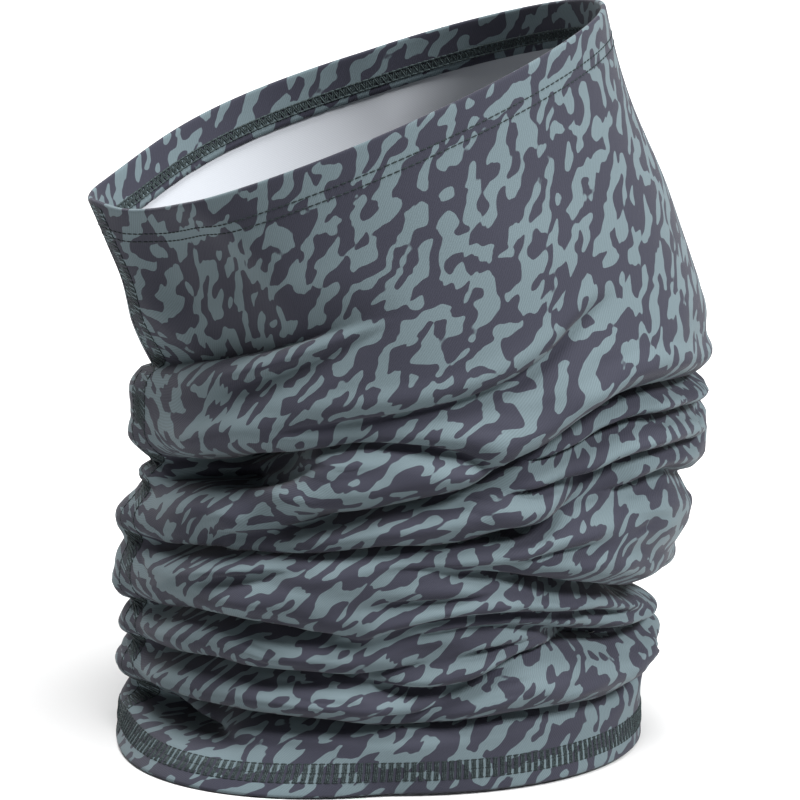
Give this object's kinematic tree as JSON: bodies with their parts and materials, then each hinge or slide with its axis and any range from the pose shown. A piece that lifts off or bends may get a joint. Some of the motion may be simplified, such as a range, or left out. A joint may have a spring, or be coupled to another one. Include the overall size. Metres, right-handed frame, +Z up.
{
  "type": "neck gaiter",
  "caption": "Tube of printed stretch knit with turned, cover-stitched hems, standing slouched in soft rolls; worn round the neck and face.",
  "frame": {"origin": "middle of the model's box on the surface that the bottom hem stands on", "axes": "+Z up, +X towards the rim's high end, +Y towards the back of the opening"},
  "size_m": [0.217, 0.1715, 0.256],
  "materials": {
    "printed_knit": "matte jersey, two-tone charcoal and grey-teal blob print outside, plain white inside",
    "sewing_thread": "matte textured polyester thread, dark green-black"
  },
  "bodies": {
    "root": {"fabric_tube": "printed_knit", "top_hem_turn_in": "printed_knit", "bottom_hem_turn_in": "printed_knit", "top_hem_needle_thread_upper": "sewing_thread", "top_hem_needle_thread_lower": "sewing_thread", "top_hem_looper_thread": "sewing_thread", "bottom_hem_needle_thread_upper": "sewing_thread", "bottom_hem_needle_thread_middle": "sewing_thread", "bottom_hem_needle_thread_lower": "sewing_thread", "bottom_hem_cover_thread": "sewing_thread", "bottom_hem_looper_thread": "sewing_thread", "side_seam_needle_thread_front": "sewing_thread", "side_seam_needle_thread_back": "sewing_thread", "side_seam_cover_thread": "sewing_thread", "side_seam_looper_thread": "sewing_thread"}
  },
  "joints": []
}
